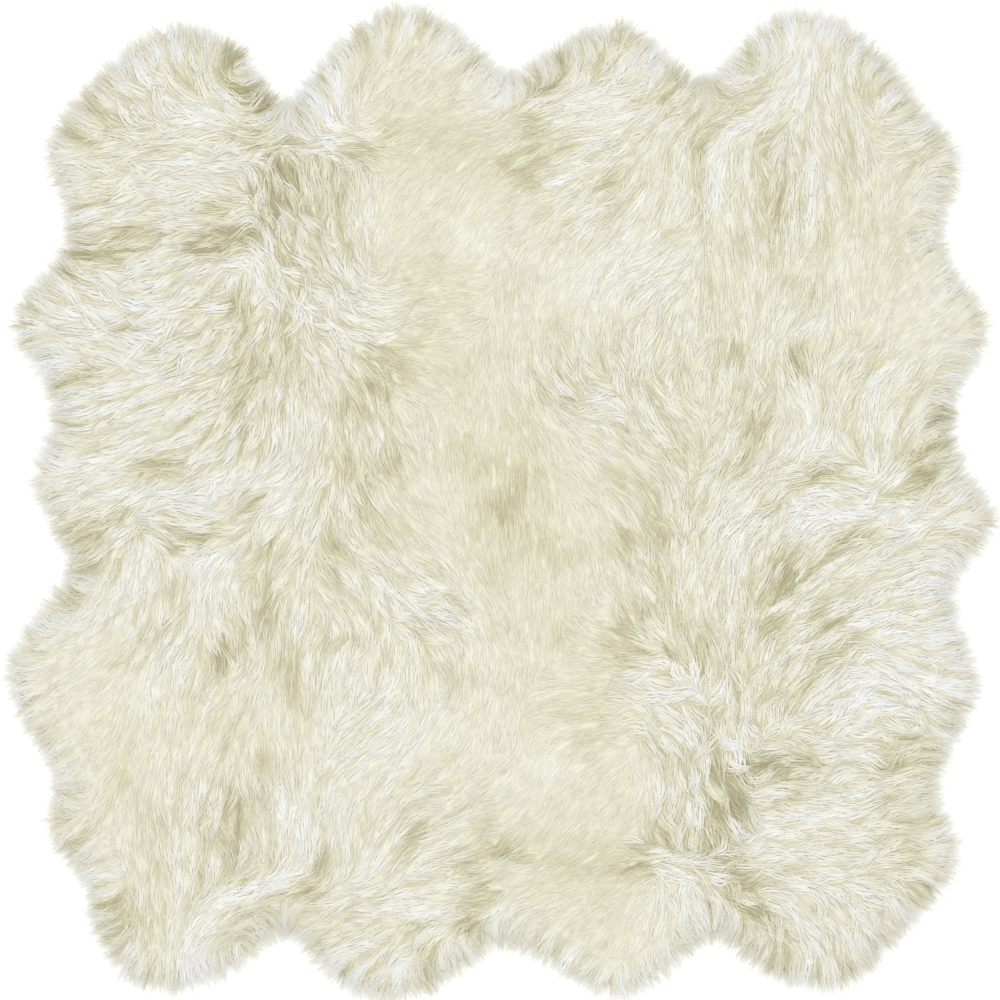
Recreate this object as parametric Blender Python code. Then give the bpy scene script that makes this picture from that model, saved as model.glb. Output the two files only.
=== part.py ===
"""A longwool sheepskin rug, sewn edge to edge from eight pelts, lying flat with the wool up.

Each pelt is one closed solid: a flat hide underside, a lumpy top where the wool stands, and locks
of wool round the outer rim that lie out over the floor. +Y is the far side of the rug and +X its
right side, seen from above, and the floor is at Z = 0. The tables are in millimetres, and the
meshes are in metres.
"""

from collections import namedtuple
from math import exp, sqrt
import random

import bmesh
import bpy
import numpy as np
from mathutils import Matrix, Vector, noise
from mathutils.geometry import delaunay_2d_cdt, interpolate_bezier, intersect_point_line

MM = 0.001

# ---- Driving dimensions, in millimetres ----
PILE_HEIGHT = 43         # top of the wool over the floor, away from rim and seams
RIM_HEIGHT = 15          # wool over the edge of the hide
SHOULDER_WIDTH = 100     # over which the wool rounds down to the rim
WOOL_OVERHANG = 38       # how far the wool lies out past the edge of the hide
LUMP_SIZE = 130          # from one lump of the wool to the next
LUMP_HEIGHT = 9         # either way, at most
SEAM_GAP = 0.3           # between neighbouring solids
SEAM_DIP = 5             # the wool parts a little over a seam
SEAM_DIP_WIDTH = 26

LOCK_PITCH = 28          # along the wool's outer limit, one lock to each step
LOCK_VARIES = 0.20       # a lock is longer or shorter than the overhang by up to this share
LOCK_LEANS = 0.22        # and its tip lies to one side by up to this share of its step
SEAM_PITCH = 40
GRID_PITCH = 42          # between the top's inner points
SHOULDER_ROWS = (27, 62) # rows of points this far in from the hide's edge
RELIEF_PITCH = 34        # between the points along a parting or a tuft
LEAST_SPACING = 30       # between any two inner points
CURVE_STEPS = 24
CHANCE_SEED = 8

# ---- The rug's outline: the outer limit of the wool, clockwise from above ----
# A row is one lobe of a skin. Its first point is the hollow or the seam that it starts at, and it
# ends at the first point of the next row.
Lobe = namedtuple("Lobe", "pelt part points")
LOBES = (
    Lobe("far_2", "head", ((-414, 747), (-352, 845), (-208, 956), (-89, 910))),
    Lobe("far_3", "head", ((9, 806), (93, 870), (235, 927), (299, 874))),
    Lobe("far_4", "head", ((389, 793), (460, 883), (569, 950), (700, 893))),
    Lobe("far_4", "cheek", ((804, 760), (861, 695), (880, 651), (865, 603))),
    Lobe("far_4", "foreleg", ((832, 518), (876, 426), (936, 340), (892, 250))),
    Lobe("far_4", "hind leg", ((853, 161), (888, 65))),
    Lobe("near_4", "hind leg", ((953, -27), (916, -90), (880, -125))),
    Lobe("near_4", "foreleg", ((855, -165), (875, -246), (913, -346), (880, -426))),
    Lobe("near_4", "cheek", ((823, -563), (857, -618), (876, -680), (842, -741))),
    Lobe("near_4", "head", ((815, -772), (742, -852), (646, -927), (519, -908))),
    Lobe("near_3", "head", ((396, -816), (320, -899), (220, -952), (112, -895))),
    Lobe("near_2", "head", ((-3, -837), (-80, -895), (-204, -956), (-320, -920))),
    Lobe("near_1", "head", ((-421, -808), (-492, -877), (-621, -935), (-748, -895))),
    Lobe("near_1", "cheek", ((-805, -722), (-844, -672), (-884, -622), (-863, -578))),
    Lobe("near_1", "foreleg", ((-848, -543), (-898, -457), (-953, -344), (-921, -250))),
    Lobe("near_1", "hind leg", ((-821, -134), (-859, -58))),
    Lobe("far_1", "hind leg", ((-913, 58), (-882, 108))),
    Lobe("far_1", "foreleg", ((-853, 177), (-901, 269), (-946, 346), (-898, 424), (-848, 473))),
    Lobe("far_1", "cheek", ((-828, 526), (-859, 611), (-884, 672), (-859, 720))),
    Lobe("far_1", "head", ((-821, 776), (-736, 858), (-633, 918), (-502, 872), (-471, 814))),
)

# ---- Seams ----
# Three run along the rug, between a far hollow and a near one, and one runs across it. A row is
# one seam along: the point it is cut through on the far side, where it crosses, and the near side.
SeamAlong = namedtuple("SeamAlong", "far crossing near")
SEAMS_ALONG = (
    SeamAlong((-437, 599), (-395, -4), (-350, -607)),
    SeamAlong((20, 388), (12, -4), (5, -380)),
    SeamAlong((375, 599), (420, -4), (462, -607)),
)
COLUMNS = len(SEAMS_ALONG) + 1

# ---- Relief of the wool on the left half and the far middle ----
# A row is a parting, hollow or tuft: how high it stands (below zero it sinks), how far it spreads
# to each side, and the points it runs through. The rug's other half has the same, turned half round.
Relief = namedtuple("Relief", "place height spread points")
HALF_TURN_CENTRE = (12, -4)
RELIEFS = (
    Relief("parting across head 1", -7, 30, ((-780, 725), (-665, 720))),
    Relief("parting behind head 1", -10, 30, ((-580, 765), (-470, 770))),
    Relief("outer hollow at shoulder 1", -9, 34, ((-800, 495), (-615, 485))),
    Relief("inner hollow at shoulder 1", -13, 34, ((-615, 495), (-445, 520))),
    Relief("parting along neck 1", -9, 30, ((-440, 685), (-440, 550))),
    Relief("hollow on flank 1", -7, 34, ((-520, 300), (-450, 200))),
    Relief("outer streak on belly 1", -7, 34, ((-735, 95), (-610, 55))),
    Relief("inner streak on belly 1", -6, 34, ((-530, 90), (-470, 180))),
    Relief("hollow under the fold", -9, 40, ((-645, -85), (-600, -85))),
    Relief("long hollow under the fold", -8, 40, ((-470, -85), (-470, -250))),
    Relief("parting across head 3", -7, 30, ((85, 785), (315, 785))),
    Relief("outer hollow on neck 3", -7, 36, ((55, 715), (55, 580))),
    Relief("inner hollow on neck 3", -6, 34, ((205, 645), (205, 575))),
    Relief("hollow on neck 4", -10, 50, ((520, 675), (550, 530))),
    Relief("parting along neck 4", -8, 30, ((375, 675), (375, 570))),
    Relief("hollow at shoulder 4", -7, 36, ((545, 405), (600, 390))),
    Relief("fold of wool", 9, 40, ((-830, -15), (-715, 0), (-645, -15), (-560, -50), (-465, 5))),
    Relief("crest on head 1", 6, 60, ((-610, 755), (-550, 610))),
    Relief("tuft on neck 2", 8, 34, ((-300, 675), (-245, 655))),
    Relief("tuft on flank 1", 8, 36, ((-455, 390), (-370, 365))),
    Relief("whorl on foreleg 1", 7, 44, ((-735, 375), (-690, 355))),
    Relief("crest on head 4", 7, 40, ((420, 695), (575, 810))),
    Relief("knot by the fold", 7, 34, ((-435, -175), (-410, -185))),
    Relief("knot below the fold", 6, 34, ((-650, -240), (-630, -250))),
)

# ---- Locks of wool at the rim ----
# A row is one section of a lock: how far along it lies, its width as a share of its step of the
# rim there, and its height over the floor.
Section = namedtuple("Section", "along width height")
LOCK_SECTIONS = (Section(0.5, 0.78, 10), Section(1.0, 0.16, 2.5))

# ---- Colour of the wool ----
IVORY = (0.753, 0.730, 0.597)
WOOL_ROUGHNESS = 0.9
PELT_TONES = {
    "far_1": 0.98, "far_2": 1.00, "far_3": 0.97, "far_4": 1.01,
    "near_1": 1.01, "near_2": 0.97, "near_3": 1.00, "near_4": 0.98,
}

# One step round the rim: the outer limit of the wool there, and the edge of the hide.
RimPoint = namedtuple("RimPoint", "pelt limit hide")


def clear_scene():
    for obj in list(bpy.data.objects):
        bpy.data.objects.remove(obj)


def curve_through(points):
    """A smooth open curve through the points, as short chords."""
    knots = [Vector(point) for point in points]
    ends = [2 * knots[0] - knots[1], *knots, 2 * knots[-1] - knots[-2]]
    curve = []
    for before, start, end, after in zip(ends, ends[1:], ends[2:], ends[3:]):
        reach = (end - start).length / 3
        leave = start + (end - before).normalized() * reach
        arrive = end - (after - start).normalized() * reach
        curve += interpolate_bezier(start, leave, arrive, end, CURVE_STEPS)[:-1]
    return curve + [knots[-1]]


def evenly(curve, pitch):
    """Points on the curve at even steps near the pitch, both its ends among them."""
    run = np.cumsum([0] + [(end - start).length for start, end in zip(curve, curve[1:])])
    steps = max(1, round(run[-1] / pitch))
    stops = run[-1] * np.arange(steps + 1) / steps
    xs = np.interp(stops, run, [point.x for point in curve])
    ys = np.interp(stops, run, [point.y for point in curve])
    return [Vector(place) for place in zip(xs, ys)]


def rim_points():
    """The rim in steps of one lock, clockwise, with the hide's edge set in from the wool's limit."""
    limits, pelts = [], []
    for lobe, following in zip(LOBES, LOBES[1:] + LOBES[:1]):
        steps = evenly(curve_through(lobe.points + following.points[:1]), LOCK_PITCH)[:-1]
        limits += steps
        pelts += [lobe.pelt] * len(steps)
    rim = []
    for i, (pelt, limit) in enumerate(zip(pelts, limits)):
        along = limits[(i + 2) % len(limits)] - limits[i - 2]
        outward = Vector((-along.y, along.x)).normalized()
        rim.append(RimPoint(pelt, limit, limit - outward * WOOL_OVERHANG))
    return rim


def rims_by_pelt(rim):
    """Each pelt's own stretch of the rim, ending at the point where the next pelt's starts."""
    rims = {}
    for point, following in zip(rim, rim[1:] + rim[:1]):
        stretch = rims.setdefault(point.pelt, [])
        stretch.append(point)
        if following.pelt != point.pelt:
            stretch.append(following)
    return rims


def seam_lines(rims):
    """The seams along, each as its halves from the crossing outwards, and the seams across."""
    along = []
    for number, seam in enumerate(SEAMS_ALONG, start=1):
        far_hollow = rims[f"far_{number + 1}"][0].hide
        near_hollow = rims[f"near_{number + 1}"][-1].hide
        whole = curve_through([far_hollow, seam.far, seam.crossing, seam.near, near_hollow])
        middle = 2 * (CURVE_STEPS - 1)
        far_half = evenly(whole[:middle + 1], SEAM_PITCH)[::-1]
        along.append({"far": far_half, "near": evenly(whole[middle:], SEAM_PITCH)})
    left, right = rims["far_1"][0].hide, rims["far_4"][-1].hide
    stops = [left] + [Vector(seam.crossing) for seam in SEAMS_ALONG] + [right]
    across = [evenly([start, end], SEAM_PITCH) for start, end in zip(stops, stops[1:])]
    return along, across


def pelt_outline(row, column, rims, along, across):
    """A pelt's hide, clockwise from the start of its rim, drawn in by half the gap at its seams."""
    is_far = row == "far"
    half = SEAM_GAP / 2
    left = [(along[column - 2][row], Vector((half, 0)))] if column > 1 else []
    right = [(along[column - 1][row], Vector((-half, 0)))] if column < COLUMNS else []
    first, last = (right, left) if is_far else (left, right)
    crosswise = across[column - 1][::-1] if is_far else across[column - 1]
    stretches = [([point.hide for point in rims[f"{row}_{column}"]], Vector((0, 0)))]
    stretches += [(line[::-1], shift) for line, shift in first]
    stretches.append((crosswise, Vector((0, half if is_far else -half))))
    stretches += last
    ring = {}
    for points, shift in stretches:
        for point in points:
            place = (round(point.x, 3), round(point.y, 3))
            ring[place] = ring.get(place, Vector((0, 0))) + shift
    return [Vector(place) + shift for place, shift in ring.items()]


def distance_to_chord(place, start, end):
    _, share = intersect_point_line(place, start, end)
    return (place - start.lerp(end, min(max(share, 0), 1))).length


def distance_to_line(place, line):
    """How far the place lies from a line of several chords."""
    return min(distance_to_chord(place, start, end) for start, end in zip(line, line[1:]))


def turned(points):
    """The points on the rug's other half, turned half round."""
    return [Vector(HALF_TURN_CENTRE) * 2 - Vector(point) for point in points]


def relief_lines():
    lines = []
    for relief in RELIEFS:
        here = [Vector(point) for point in relief.points]
        lines.append((relief, here))
        lines.append((relief, turned(here)))
    return lines


class WoolTop:
    """Height of the wool over the floor at any place on the rug."""

    def __init__(self, rim, along, across):
        self.edge = [point.hide for point in rim] + [rim[0].hide]
        self.seams = [half for seam in along for half in seam.values()] + across
        self.reliefs = relief_lines()

    def height(self, place):
        depth = min(distance_to_line(place, self.edge) / SHOULDER_WIDTH, 1)
        rounded = sqrt(1 - (1 - depth) ** 2)
        height = RIM_HEIGHT + (PILE_HEIGHT - RIM_HEIGHT) * rounded
        height += rounded * LUMP_HEIGHT * noise.noise((*(2 * place / LUMP_SIZE), 0))
        for relief, line in self.reliefs:
            share = distance_to_line(place, line) / relief.spread
            height += rounded * relief.height * exp(-share * share)
        share = min(distance_to_line(place, seam) for seam in self.seams) / SEAM_DIP_WIDTH
        return height - rounded * SEAM_DIP * exp(-share * share)


def inner_points(outline, rim, top):
    """Inner points of the top: on its partings and tufts, on its shoulder, then on an even grid."""
    wanted = []
    for relief, line in top.reliefs:
        wanted += evenly(line, RELIEF_PITCH)
    for row, inset in enumerate(SHOULDER_ROWS):
        for point in rim[::1 + row]:
            wanted.append(point.hide + (point.hide - point.limit).normalized() * inset)
    low_x, low_y = (min(point[axis] for point in outline) for axis in (0, 1))
    high_x, high_y = (max(point[axis] for point in outline) for axis in (0, 1))
    row_height = GRID_PITCH * sqrt(3) / 2
    for row in range(int((high_y - low_y) / row_height) + 1):
        for step in range(int((high_x - low_x) / GRID_PITCH) + 1):
            across = step + 0.5 * (row % 2)
            wanted.append(Vector((low_x + across * GRID_PITCH, low_y + row * row_height)))
    ring = outline + outline[:1]
    kept = []
    for place in wanted:
        if not (low_x < place.x < high_x and low_y < place.y < high_y):
            continue
        if any((place - other).length < LEAST_SPACING for other in kept):
            continue
        if inside(place, ring) and distance_to_line(place, ring) > LEAST_SPACING / 2:
            kept.append(place)
    return kept


def inside(place, ring):
    """Whether the place lies within the closed ring."""
    crossings = 0
    for start, end in zip(ring, ring[1:]):
        if (start.y > place.y) != (end.y > place.y):
            share = (place.y - start.y) / (end.y - start.y)
            crossings += place.x < start.x + share * (end.x - start.x)
    return crossings % 2 == 1


def pelt_body(outline, rim, top):
    """The pelt without its locks, as a bmesh, and the side faces under each step of its rim."""
    places = outline + inner_points(outline, rim, top)
    count = len(outline)
    ring = [(i, (i + 1) % count) for i in range(count)]
    places, _, faces, *_ = delaunay_2d_cdt(places, ring, [], 1, MM)
    bm = bmesh.new()
    verts = [bm.verts.new((*(place * MM), top.height(place) * MM)) for place in places]
    for face in faces:
        bm.faces.new([verts[i] for i in face])
    edges = [bm.edges.get((verts[start], verts[end])) for start, end in ring]
    skirt = bmesh.ops.extrude_edge_only(bm, edges=edges)["geom"]
    for vert in (item for item in skirt if isinstance(item, bmesh.types.BMVert)):
        vert.co.z = 0
    open_edges = [edge for edge in bm.edges if edge.is_boundary]
    bmesh.ops.contextual_create(bm, geom=open_edges)
    bmesh.ops.recalc_face_normals(bm, faces=bm.faces)
    rim_sides = []
    for edge in edges[:len(rim) - 1]:
        rim_sides += [face for face in edge.link_faces if len(face.verts) == 4]
    return bm, rim_sides


def grow_lock(bm, side, start, end, chance):
    """Draws one tapered lock out of a side face, lying on the floor out to the limit of the wool.

    It keeps between the lines that run out from the two ends of its step, clear of its neighbours.
    """
    reach = 1 + chance.uniform(-LOCK_VARIES, LOCK_VARIES)
    lean = chance.uniform(-LOCK_LEANS, LOCK_LEANS)
    across = end.hide - start.hide
    face = side
    for section in LOCK_SECTIONS:
        face = bmesh.ops.extrude_discrete_faces(bm, faces=[face])["faces"][0]
        near_start = start.hide.lerp(start.limit, section.along * reach)
        near_end = end.hide.lerp(end.limit, section.along * reach)
        for vert in face.verts:
            is_end = (vert.co.xy / MM - start.hide).dot(across) > across.length_squared / 2
            to_side = section.width / 2 if is_end else -section.width / 2
            place = near_start.lerp(near_end, 0.5 + lean * section.along + to_side)
            is_low = vert.co.z < MM / 2
            vert.co = (*(place * MM), 0 if is_low else section.height * MM)


def wool_material(name, tone):
    material = bpy.data.materials.new(name)
    material.use_nodes = True
    shader = material.node_tree.nodes["Principled BSDF"]
    colour = (*(channel * tone for channel in IVORY), 1)
    shader.inputs["Base Color"].default_value = colour
    shader.inputs["Roughness"].default_value = WOOL_ROUGHNESS
    shader.inputs["Metallic"].default_value = 0
    material.diffuse_color = colour
    return material


def build_pelt(row, column, rims, along, across, top, chance):
    name = f"{row}_{column}"
    rim = rims[name]
    outline = pelt_outline(row, column, rims, along, across)
    bm, rim_sides = pelt_body(outline, rim, top)
    for side, start, end in zip(rim_sides, rim, rim[1:]):
        grow_lock(bm, side, start, end, chance)
    mesh = bpy.data.meshes.new(f"pelt_{name}")
    bm.to_mesh(mesh)
    bm.free()
    mesh.materials.append(wool_material(f"wool_{name}", PELT_TONES[name]))
    pelt = bpy.data.objects.new(f"pelt_{name}", mesh)
    bpy.context.scene.collection.objects.link(pelt)
    return pelt


def centre_on_origin(pelts):
    """Moves the whole rug so that the middle of its box is over the origin."""
    places = np.concatenate([[vert.co for vert in pelt.data.vertices] for pelt in pelts])
    middle = (places.min(axis=0) + places.max(axis=0)) / 2
    for pelt in pelts:
        pelt.data.transform(Matrix.Translation((-middle[0], -middle[1], 0)))


def main():
    clear_scene()
    chance = random.Random(CHANCE_SEED)
    rim = rim_points()
    rims = rims_by_pelt(rim)
    along, across = seam_lines(rims)
    top = WoolTop(rim, along, across)
    pelts = []
    for row in ("far", "near"):
        for column in range(1, COLUMNS + 1):
            pelts.append(build_pelt(row, column, rims, along, across, top, chance))
    centre_on_origin(pelts)


main()
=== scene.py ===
"""Looks of the longwool sheepskin rug: eight pelts sewn edge to edge, lying with the wool up.

Each pelt is a suede hide on the floor, a layer of underwool on it, and a fleece of combed strands
that covers both and lies out over the floor round the rim. +Y is the far side of the rug and +X its
right side, seen from above. The tables, and the wool while it grows, are in millimetres. The meshes
are in metres.
"""

from collections import namedtuple

import bmesh
import bpy
import numpy as np
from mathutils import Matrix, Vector
from mathutils.bvhtree import BVHTree
from mathutils.kdtree import KDTree


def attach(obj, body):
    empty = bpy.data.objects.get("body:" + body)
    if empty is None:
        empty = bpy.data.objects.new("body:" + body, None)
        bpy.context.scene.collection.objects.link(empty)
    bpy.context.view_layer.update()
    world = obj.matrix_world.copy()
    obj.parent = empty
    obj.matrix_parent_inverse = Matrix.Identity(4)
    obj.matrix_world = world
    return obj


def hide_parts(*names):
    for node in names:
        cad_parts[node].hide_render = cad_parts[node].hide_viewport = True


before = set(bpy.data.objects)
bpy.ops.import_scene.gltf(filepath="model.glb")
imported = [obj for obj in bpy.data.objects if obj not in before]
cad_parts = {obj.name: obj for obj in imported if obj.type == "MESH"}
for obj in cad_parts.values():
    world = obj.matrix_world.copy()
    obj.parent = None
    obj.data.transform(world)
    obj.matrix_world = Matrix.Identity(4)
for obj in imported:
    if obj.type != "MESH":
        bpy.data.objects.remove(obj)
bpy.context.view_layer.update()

MM = 0.001
CHANCE_SEED = 21
STREAK_SEED = 121

# ---- The two halves of the rug ----
# The tables are for the far half, and the near half has the same wool, turned half round.
HALF_TURN_CENTRE = (16, -6)
# The turn is not quite true. Each row is a place on the far half, x and y, and how far its copy on
# the near half lies from where the turn puts it, in x and y.
SLIPS = (
    (-715, 695, -35, 6), (-445, 600, -40, 14), (-580, 505, -22, 12), (-715, 405, -17, 12),
    (-715, 255, -18, 3), (-715, 140, -11, 2), (-580, 195, -7, 4), (-380, 330, -4, 6),
    (-175, 715, -8, 10), (-175, 465, -4, 6), (-175, 175, 2, 2), (160, 735, -8, -10),
    (225, 560, 2, -2), (360, 640, 0, -8), (360, 370, 2, -1), (570, 620, -36, -9),
    (495, 445, 0, -5), (630, 465, -21, -5), (630, 290, 0, -5), (765, 350, -17, -5),
    (765, 250, -9, -5), (765, 90, 0, -3), (470, 810, -66, -8),
)
SLIP_SPREAD = 85

# ---- How the wool lies, as if combed ----
# Each row is one stroke of the comb, from the roots of the wool to its tips: the x and y of each
# point on its way.
STROKE_SPREAD = 42       # to each side of a stroke
FAR_SPREAD = 260         # where no stroke is near
FAR_WEIGHT = 1e-6
RIM_TURN = 0.9           # how much of the wool's line is straight outwards past the edge of the hide
RIM_TURN_BAND = (-45, 25)   # from nowhere to fully, in distances past that edge
RIM_HEADING = 2          # how much more its heading is outwards than along the strokes there
RIM_HEADING_BAND = (-80, -10)
STROKES = (
    # head 1
    (-704, 795, -763, 876), (-640, 810, -663, 914), (-556, 806, -579, 902), (-483, 814, -510, 887),
    (-771, 724, -844, 772), (-633, 749, -679, 803), (-502, 760, -587, 803), (-473, 722, -588, 733),
    (-761, 684, -876, 676), (-775, 626, -886, 641), (-640, 699, -723, 664), (-569, 687, -621, 684),
    (-468, 703, -556, 668), (-579, 634, -742, 641), (-671, 603, -748, 572), (-575, 584, -646, 603),
    (-771, 591, -886, 603), (-713, 557, -794, 507), (-621, 545, -694, 538), (-517, 553, -569, 538),
    # neck 1
    (-579, 511, -732, 492), (-414, 526, -448, 618), (-387, 553, -398, 647),
    # neck 2
    (-341, 549, -352, 637), (-224, 660, -291, 691, -377, 684), (-287, 518, -295, 599),
    (-249, 518, -241, 588), (-204, 599, -133, 676), (-95, 588, -3, 676),
    # shoulder 2
    (-364, 507, -414, 557), (-287, 468, -322, 511), (-241, 461, -260, 511), (-210, 461, -133, 507),
    (-210, 422, -118, 453), (-195, 388, -76, 403), (-222, 380, -283, 411),
    # head 2
    (-375, 772, -395, 837), (-337, 822, -306, 906), (-229, 826, -191, 914), (-126, 822, -80, 899),
    (-348, 737, -345, 806), (-300, 756, -276, 826), (-224, 772, -156, 837), (-137, 764, -41, 845),
    (-287, 707, -333, 749), (-249, 710, -180, 764), (-147, 726, -60, 741),
    # throat 2
    (-218, 511, -176, 568), (-99, 499, -57, 588),
    # flank 2
    (-210, 334, -99, 353), (-226, 269, -133, 230), (-314, 238, -276, 173), (-241, 219, -210, 138),
    (-300, 173, -300, 77),
    # belly 2
    (-268, 104, -249, 12), (-218, 96, -172, 23),
    # flank 1
    (-443, 353, -446, 119), (-479, 330, -514, 276), (-556, 326, -617, 269), (-633, 311, -717, 288),
    # foreleg 1
    (-602, 372, -648, 334), (-675, 357, -748, 349), (-763, 323, -813, 392), (-809, 411, -886, 426),
    (-836, 338, -936, 369), (-848, 288, -940, 330), (-717, 300, -802, 323), (-855, 246, -940, 280),
    (-752, 250, -848, 257),
    # side 1
    (-569, 273, -736, 205), (-763, 215, -890, 172), (-487, 227, -587, 146), (-579, 211, -748, 135),
    (-579, 150, -752, 68), (-771, 150, -886, 104), (-479, 177, -514, 81), (-525, 157, -594, 69),
    (-606, 108, -771, 36), (-779, 108, -909, 60), (-598, 56, -756, 4), (-771, 48, -898, 24),
    (-587, 4, -752, -12), (-771, 0, -917, -26),
    # belly 1
    (-414, 88, -460, 8), (-345, 96, -360, -4), (-460, 27, -552, -61), (-387, 27, -418, -38),
    # fold
    (-763, -38, -867, -50), (-709, -12, -748, -69),
    (-565, -46, -608, -29, -656, -8, -704, 0, -732, -10, -786, -29, -848, -54),
    (-425, 29, -469, 4, -521, -19, -556, -50), (-433, -35, -556, -100),
    # under
    (-775, -84, -836, -104), (-721, -73, -736, -127), (-684, -69, -671, -134), (-648, -77, -590, -104),
    # head 3
    (82, 826, 116, 906), (178, 833, 212, 922), (277, 829, 320, 899), (24, 749, 66, 803),
    (116, 810, 162, 852), (231, 806, 285, 860), (320, 791, 350, 860), (74, 768, 201, 795),
    (254, 776, 320, 799), (320, 756, 389, 818), (20, 726, 189, 745), (212, 733, 297, 722),
    # neck 3
    (20, 676, 151, 695), (158, 672, 216, 699), (212, 664, 251, 707), (266, 653, 285, 718),
    (20, 611, 97, 660), (105, 626, 178, 649), (189, 614, 254, 664),
    # neck 4
    (354, 588, 347, 672), (373, 599, 362, 672), (423, 564, 423, 649), (473, 553, 454, 645),
    (523, 553, 519, 649), (546, 564, 577, 611), (585, 618, 569, 695), (661, 626, 642, 710),
    (711, 568, 692, 657), (627, 553, 608, 622),
    # throat 3
    (20, 564, 151, 611), (170, 564, 212, 611), (266, 553, 285, 630), (312, 557, 327, 622),
    # shoulder 3
    (28, 507, 89, 568), (105, 530, 170, 553), (189, 507, 270, 572), (312, 507, 362, 568),
    (32, 457, 59, 526), (124, 468, 189, 522), (228, 453, 312, 522),
    # flank 3
    (93, 403, 116, 476), (189, 403, 212, 476), (254, 430, 320, 476), (36, 353, 41, 430),
    (116, 380, 151, 419), (254, 376, 320, 422),
    # side 3
    (85, 300, 85, 380), (208, 292, 212, 380), (281, 276, 304, 342), (181, 219, 132, 284),
    (208, 200, 124, 196), (105, 142, 70, 227), (270, 169, 243, 250), (335, 142, 300, 188),
    # belly 3
    (266, 92, 189, 123), (297, 69, 262, 131), (266, 19, 212, 88), (266, -35, 189, 38),
    (297, -84, 266, -4),
    # middle
    (36, -84, 36, 23), (-99, 61, -107, 157),
    # centre
    (-41, 157, -41, 253),
    # head 4
    (431, 845, 462, 918), (546, 864, 558, 941), (642, 864, 661, 937), (711, 822, 746, 879),
    (393, 764, 439, 814), (458, 768, 535, 810), (554, 749, 577, 822), (623, 718, 604, 803),
    (700, 749, 677, 826), (362, 710, 477, 764), (404, 676, 546, 749), (746, 730, 830, 756),
    (765, 676, 865, 684),
    # cheek 4
    (777, 576, 823, 657), (823, 595, 865, 626),
    # shoulder 4
    (473, 468, 454, 553), (527, 461, 496, 553), (573, 476, 588, 557), (673, 461, 692, 538),
    (777, 495, 823, 572), (527, 438, 588, 461), (727, 411, 769, 480),
    # flank 4
    (393, 353, 389, 442), (462, 346, 454, 434), (531, 353, 550, 442), (619, 365, 600, 442),
    (692, 349, 692, 434), (512, 303, 596, 369), (723, 311, 711, 380),
    # foreleg 4
    (765, 357, 807, 407), (661, 265, 738, 330), (750, 261, 838, 326), (846, 288, 926, 338),
    (834, 230, 915, 296), (765, 192, 861, 269),
    # side 4
    (396, 261, 420, 342), (473, 211, 469, 292), (585, 204, 546, 288), (654, 196, 700, 280),
    (454, 134, 481, 184), (577, 142, 554, 223), (661, 104, 654, 192), (746, 134, 765, 204),
    (804, 96, 861, 165),
    # belly 4
    (473, 77, 504, 138), (592, 77, 619, 131), (446, 35, 504, 88), (542, 38, 585, 81),
    (700, 35, 650, 58, 592, 54), (738, 31, 750, 96), (404, -23, 446, 50), (462, 0, 573, 42),
    # hind 4
    (800, 35, 876, 77), (596, 4, 688, 15), (711, 4, 804, 38), (804, -4, 888, 35),
)

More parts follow.
